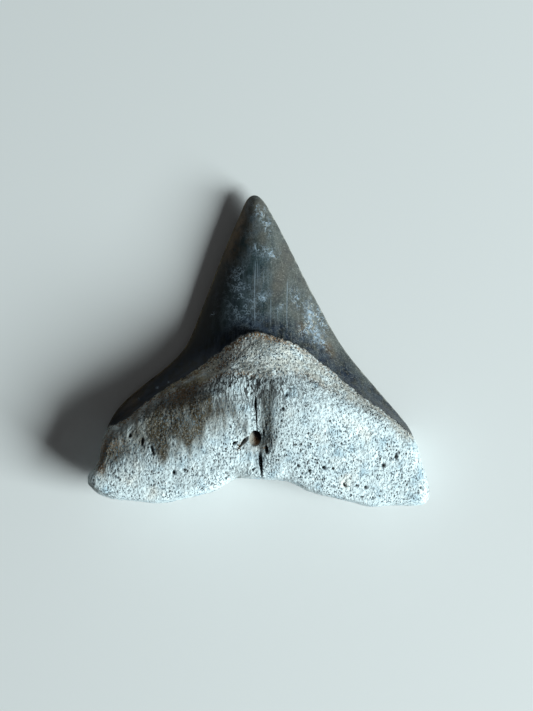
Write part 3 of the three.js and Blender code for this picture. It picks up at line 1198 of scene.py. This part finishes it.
@dataclass(frozen=True)
class WornEnamel:
    """The crown: dark fossil enamel with pale bloom, growth lines and a rusty left side, darker on
    the left and lighter on the right partly by painted shade and painted light.
    """

    # Left to right the enamel lightens: partly its own tone, partly painted shade on the left and
    # painted light on the right.
    left: Colour = (0.0050, 0.0044, 0.0030)
    middle: Colour = (0.022, 0.041, 0.044)
    right: Colour = (0.070, 0.078, 0.074)
    smoke: Colour = (0.112, 0.107, 0.092)
    base: Colour = (0.006, 0.015, 0.034)
    black: Colour = (0.003, 0.004, 0.005)
    warm: Colour = (0.055, 0.036, 0.010)
    rust: Colour = (0.15, 0.090, 0.038)
    bloom: Colour = (0.38, 0.48, 0.57)
    haze: Colour = (0.40, 0.45, 0.42)
    worn: Colour = (0.50, 0.50, 0.45)
    # The left cutting edge's line: partly wear, partly painted rim light.
    olive: Colour = (0.22, 0.165, 0.08)
    line_fade: float = 0.8
    hairlines: tuple[Hairline, ...] = (
        Hairline(-0.3, 1.8, 7.2, -0.012, 0.45),
        Hairline(0.95, 1.6, 4.4, 0.02, 0.25),
        Hairline(0.4, 4.6, 6.4),
        Hairline(2.2, 1.2, 5.6, 0.0, 0.3),
        Hairline(-0.05, 4.8, 7.2),
        Hairline(-1.0, 4.5, 7.0, 0.02),
        Hairline(1.5, 2.0, 3.6, 0.02),
    )

    def colour(self, nodes: NodeTree, place: Socket) -> Socket:
        """Builds the crown's colour.

        Args:
            nodes: the material's tree.
            place: the place on the tooth, in millimetres.

        Returns:
            The colour's socket.
        """
        x, y, _ = nodes.add("ShaderNodeSeparateXYZ", {0: place}).outputs
        half_width = nodes.maths("MULTIPLY_ADD", y, -0.42, 5.9)
        side = nodes.maths("DIVIDE", nodes.maths("MULTIPLY_ADD", y, 0.03, x), half_width)
        streaks = nodes.noise(nodes.stretched(place, 1.6, 0.22, 1.0), 1.0, 3.0)
        side = nodes.maths("MULTIPLY_ADD", streaks, 0.5, nodes.maths("SUBTRACT", side, 0.25))
        colour = nodes.layered(self.left, self.tones(nodes, place, y, side))
        colour = nodes.layered(colour, self.films(nodes, place, side))
        colour = nodes.mix(self.lines(nodes, x, y, streaks), colour, self.bloom)
        return nodes.layered(colour, self.wear(nodes, place, side))

    def tones(self, nodes: NodeTree, place: Socket, y: Socket, side: Socket) -> Layers:
        """Builds the enamel's colours, from its dark left side to its grey right side, partly
        painted shade and light.

        Args:
            nodes: the material's tree.
            place: the place on the tooth, in millimetres.
            y: how far up the tooth that is.
            side: from -1 at the crown's left edge to 1 at its right edge.

        Returns:
            The layers, from the lowest up.
        """
        drifting = nodes.spots(nodes.stretched(place, 0.9, 0.4, 1.0), 0.9, 2.0, 0.44, 0.6)
        drifting = nodes.times(drifting, nodes.ramp(side, -0.3, 0.1), 0.4)
        smoky = nodes.maths("MAXIMUM", drifting, nodes.times(nodes.mask(Mask.SHADE_AND_SMOKE), 0.95))
        # Painted shadow on the crown's lower left, next to the root's raised edge.
        shoulder_shadow = nodes.times(nodes.ramp(y, 0.8, -1.4), nodes.ramp(side, -0.2, -0.5), 0.75)
        # Navy and black along the root's edge: partly the enamel's dark base, partly painted shadow
        # of the root's step.
        navy = nodes.mix(nodes.spots(place, 1.8, 4.0, 0.36, 0.6), self.black, self.base)
        dark_base_and_shadow = nodes.times(nodes.ramp(nodes.mask(Mask.ROOT_DEPTH), -2.0, -0.5), 0.92)
        return (
            # Partly painted shade on the left and painted light on the right.
            (nodes.ramp(side, -0.85, -0.3), self.middle),
            (nodes.ramp(side, 0.1, 0.75), self.right),
            (smoky, self.smoke),
            (nodes.times(nodes.spots(place, 1.4, 5.0, 0.45, 0.7), 0.25), self.base),
            (shoulder_shadow, self.black),
            (dark_base_and_shadow, navy),
        )

    def films(self, nodes: NodeTree, place: Socket, side: Socket) -> Layers:
        """Builds the thin films on the enamel: a warm left edge, partly painted fill light, rust
        and a pale veil.

        Args:
            nodes: the material's tree.
            place: the place on the tooth, in millimetres.
            side: from -1 at the crown's left edge to 1 at its right edge.

        Returns:
            The layers, from the lowest up.
        """
        # Warm strip along the left edge: partly its colour, partly painted light on the side turned
        # away from the key.
        warm_edge_and_light = nodes.ramp(nodes.mask(Mask.EDGE), 0.7, 0.0)
        warm_edge_and_light = nodes.times(warm_edge_and_light, nodes.ramp(side, -0.2, -0.6))
        rusty = nodes.times(nodes.mask(Mask.RUST), nodes.spots(place, 1.5, 3.0, 0.25, 0.6))
        bare = nodes.ramp(nodes.mask(Mask.SHADE_AND_SMOKE), 0.8, 0.2)
        shown = nodes.times(nodes.ramp(side, -0.8, -0.25), bare, 0.26)
        haze = nodes.mix(nodes.ramp(side, 0.0, 0.5), self.bloom, self.haze)
        return (
            (nodes.times(warm_edge_and_light, 0.65), self.warm),
            (rusty, self.rust),
            (nodes.times(self.veil(nodes, place), shown), haze),
        )

    def wear(self, nodes: NodeTree, place: Socket, side: Socket) -> Layers:
        """Builds what lies on top: torn bloom, dark and pale grains and the chipped cutting edges,
        partly painted highlight.

        Args:
            nodes: the material's tree.
            place: the place on the tooth, in millimetres.
            side: from -1 at the crown's left edge to 1 at its right edge.

        Returns:
            The layers, from the lowest up.
        """
        granular = nodes.times(nodes.spots(place, 3.2, 3.0, 0.5, 0.62), nodes.ramp(side, 0.2, 0.6))
        dusty = nodes.mix(granular, self.bloom, self.worn)
        dark_grains = nodes.spots(place, 7.0, 3.0, 0.52, 0.66)
        pale_grains = nodes.spots(place, 9.0, 2.0, 0.46, 0.34)
        # The cutting edges' thin line: chipped wear, plus a painted highlight on the right and
        # painted rim light on the left.
        rim = nodes.mix(nodes.ramp(side, -0.2, 0.2), self.olive, self.worn)
        thin = nodes.ramp(nodes.mask(Mask.EDGE), 0.14, 0.04)
        return (
            (self.lace(nodes, place), dusty),
            (nodes.times(dark_grains, 0.3), self.black),
            (nodes.times(pale_grains, nodes.ramp(side, -0.4, 0.6), 0.17), self.worn),
            (nodes.times(thin, nodes.spots(place, 1.6, 4.0, 0.36, 0.62), 0.8), rim),
        )

    def lines(self, nodes: NodeTree, x: Socket, y: Socket, streaks: Socket) -> Socket:
        """Builds the mask of the crown's hairlines.

        Args:
            nodes: the material's tree.
            x: the place's x.
            y: the place's y.
            streaks: noise drawn out along the crown.

        Returns:
            The mask's socket, which is each line's strength on it.
        """
        drift = nodes.maths("MULTIPLY_ADD", streaks, 0.3, nodes.maths("SUBTRACT", x, 0.15))
        total = 0.0
        for line in self.hairlines:
            off = nodes.maths("SUBTRACT", nodes.maths("MULTIPLY_ADD", y, line.lean, drift), line.x)
            thin = nodes.ramp(nodes.maths("ABSOLUTE", off), 0.06, 0.0)
            rise = nodes.ramp(y, line.low, line.low + self.line_fade)
            fall = nodes.ramp(y, line.high, line.high - self.line_fade)
            total = nodes.maths("MAXIMUM", total, nodes.times(thin, rise, fall, line.strength))
        return total

    def veil(self, nodes: NodeTree, place: Socket) -> Socket:
        """Builds the mask of the faint streaks and swirls that cover most of the crown.

        Args:
            nodes: the material's tree.
            place: the place on the tooth, in millimetres.

        Returns:
            The mask's socket.
        """
        growth = nodes.spots(nodes.stretched(place, 6.5, 0.3, 3.0), 1.0, 2.0, 0.45, 0.7)
        swirls = nodes.noise(place, 2.0, 2.0, 2.5)
        waves = nodes.ramp(nodes.maths("PINGPONG", swirls, 0.06), 0.02, 0.06)
        patches = nodes.spots(place, 0.8, 2.0, 0.38, 0.62)
        return nodes.maths("MAXIMUM", nodes.times(growth, 0.4), nodes.times(waves, patches))

    def lace(self, nodes: NodeTree, place: Socket) -> Socket:
        """Builds the mask of the pale bloom, which lies on the enamel like torn lace.

        Args:
            nodes: the material's tree.
            place: the place on the tooth, in millimetres.

        Returns:
            The mask's socket.
        """
        inputs = {"Vector": nodes.wobbled(place, 4.0, 0.35), "Scale": 4.8}
        cells = nodes.add("ShaderNodeTexVoronoi", inputs, feature="DISTANCE_TO_EDGE")
        threads = nodes.ramp(cells.outputs["Distance"], 0.17, 0.04)
        torn = nodes.spots(place, 2.6, 4.0, 0.42, 0.6)
        flecks = nodes.spots(place, 4.5, 4.0, 0.34, 0.64)
        solid = nodes.times(nodes.mask(Mask.CHALK), flecks)
        return nodes.maths("MAXIMUM", nodes.times(threads, torn, nodes.mask(Mask.BLOOM)), solid)


@dataclass(frozen=True)
class FossilFinish:
    """The one material of the tooth: enamel and root, parted along the crown's line."""

    enamel: WornEnamel = WornEnamel()
    root: RootStone = RootStone()
    enamel_roughness: float = 0.42
    root_roughness: float = 0.88
    specular: float = 0.22
    grain_depth: float = 0.06

    def material(self, unit: float) -> bpy.types.Material:
        """Builds the material.

        Args:
            unit: the length of a tooth millimetre, in metres.

        Returns:
            The material.
        """
        material = bpy.data.materials.new("fossil")
        material.use_nodes = True
        nodes = NodeTree(material.node_tree)
        coordinates = nodes.add("ShaderNodeTexCoord").outputs["Object"]
        place = nodes.stretched(coordinates, 1 / unit, 1 / unit, 1 / unit)
        is_root = nodes.ramp(nodes.mask(Mask.ROOT_DEPTH), -0.04, 0.04)
        enamel = self.enamel.colour(nodes, place)
        colour = nodes.mix(is_root, enamel, self.root.colour(nodes, place))
        least = self.enamel_roughness - 0.15
        scuffed = nodes.maths("MULTIPLY_ADD", nodes.noise(place, 1.2, 4.0), 0.3, least)
        roughness = nodes.blend(is_root, scuffed, self.root_roughness)
        pitted = nodes.maths("MULTIPLY", self.root.grain(nodes, place), is_root)
        grit = nodes.maths("MULTIPLY_ADD", is_root, 0.6, 0.05)
        height = nodes.maths("SUBTRACT", nodes.times(nodes.noise(place, 8.0, 2.0), grit), pitted)
        deep = {"Height": height, "Strength": 1.0, "Distance": self.grain_depth * unit}
        look = {
            "Base Color": colour,
            "Roughness": roughness,
            "Normal": nodes.add("ShaderNodeBump", deep).outputs[0],
            "Specular IOR Level": self.specular,
        }
        surface = nodes.add("ShaderNodeBsdfPrincipled", look)
        nodes.add("ShaderNodeOutputMaterial", {"Surface": surface.outputs[0]})
        return material


@dataclass
class Studio:
    """A plain pale floor, soft lights and the camera looking straight down."""

    unit: float
    stand_off: float = 250.0
    view_level: float = 2.0
    view_height: float = 54.37
    sensor: float = 36.0
    clip: tuple[float, float] = (0.001, 100.0)
    aim: tuple[float, float] = (0.61, -0.38)
    floor_reach: float = 400.0
    floor_colour: Colour = (0.72, 0.72, 0.71)
    floor_roughness: float = 0.9
    key_place: tuple[float, float, float] = (411.0, -192.0, 273.0)
    key_side: float = 300.0
    key_watts: float = 5.3
    key_colour: Colour = (0.86, 0.98, 1.0)
    sky_colour: Colour = (0.95, 0.98, 1.0)
    sky_fill: float = 0.07
    sky_shown: float = 0.6

    def build(self) -> None:
        """Sets up everything round the tooth."""
        self.floor()
        self.lights()
        self.camera()

    def floor(self) -> None:
        """Lays the floor under the tooth."""
        plane = bmesh.new()
        bmesh.ops.create_grid(plane, x_segments=1, y_segments=1, size=self.floor_reach * self.unit)
        mesh = bpy.data.meshes.new("floor")
        plane.to_mesh(mesh)
        plane.free()
        floor = bpy.data.objects.new("floor", mesh)
        bpy.context.scene.collection.objects.link(floor)
        material = bpy.data.materials.new("floor")
        material.use_nodes = True
        surface = material.node_tree.nodes["Principled BSDF"]
        surface.inputs["Base Color"].default_value = (*self.floor_colour, 1.0)
        surface.inputs["Roughness"].default_value = self.floor_roughness
        mesh.materials.append(material)

    def lights(self) -> None:
        """Sets up one broad key light low on the right and a weak fill from the sky."""
        self.key_light()
        self.sky()

    def key_light(self) -> None:
        """Hangs one square area light that faces the tooth."""
        lamp = bpy.data.lights.new("key", "AREA")
        lamp.size = self.key_side * self.unit
        lamp.energy = self.key_watts
        lamp.color = self.key_colour
        light = bpy.data.objects.new("key", lamp)
        light.location = Vector(self.key_place) * self.unit
        light.rotation_euler = (-light.location).to_track_quat("-Z", "Y").to_euler()
        bpy.context.scene.collection.objects.link(light)

    def sky(self) -> None:
        """Makes a sky that lights the tooth weakly and shows pale behind the floor."""
        world = bpy.data.worlds.new("studio")
        world.use_nodes = True
        nodes = NodeTree(world.node_tree)
        seen = nodes.add("ShaderNodeLightPath").outputs["Is Camera Ray"]
        strength = nodes.maths("MULTIPLY_ADD", seen, self.sky_shown, self.sky_fill)
        look = {"Color": (*self.sky_colour, 1.0), "Strength": strength}
        sky = nodes.add("ShaderNodeBackground", look)
        nodes.add("ShaderNodeOutputWorld", {"Surface": sky.outputs[0]})
        bpy.context.scene.world = world

    def camera(self) -> None:
        """Hangs the camera over the tooth, with the tip at the top of its view."""
        data = bpy.data.cameras.new("camera")
        data.sensor_width = self.sensor
        data.lens = self.sensor * self.stand_off / self.view_height
        data.clip_start, data.clip_end = self.clip
        camera = bpy.data.objects.new("camera", data)
        camera.location = Vector((*self.aim, self.stand_off + self.view_level)) * self.unit
        bpy.context.scene.collection.objects.link(camera)
        bpy.context.scene.camera = camera


def report(piece: bpy.types.Object) -> None:
    """Logs how many vertices and triangles a piece has."""
    triangles = sum(len(face.vertices) - 2 for face in piece.data.polygons)
    LOG.info("%s: %d vertices, %d triangles", piece.name, len(piece.data.vertices), triangles)


def main() -> None:
    """Builds the tooth and the studio round it."""
    logging.basicConfig(level=logging.INFO, format="%(name)s: %(message)s")
    body = ToothBody()
    tooth = body.build()
    tooth.data.materials.append(FossilFinish().material(body.unit))
    report(tooth)
    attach(tooth, "root")
    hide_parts(NODE)
    Studio(body.unit).build()
    bpy.context.scene.view_settings.view_transform = "Standard"


if __name__ == "__main__":
    main()
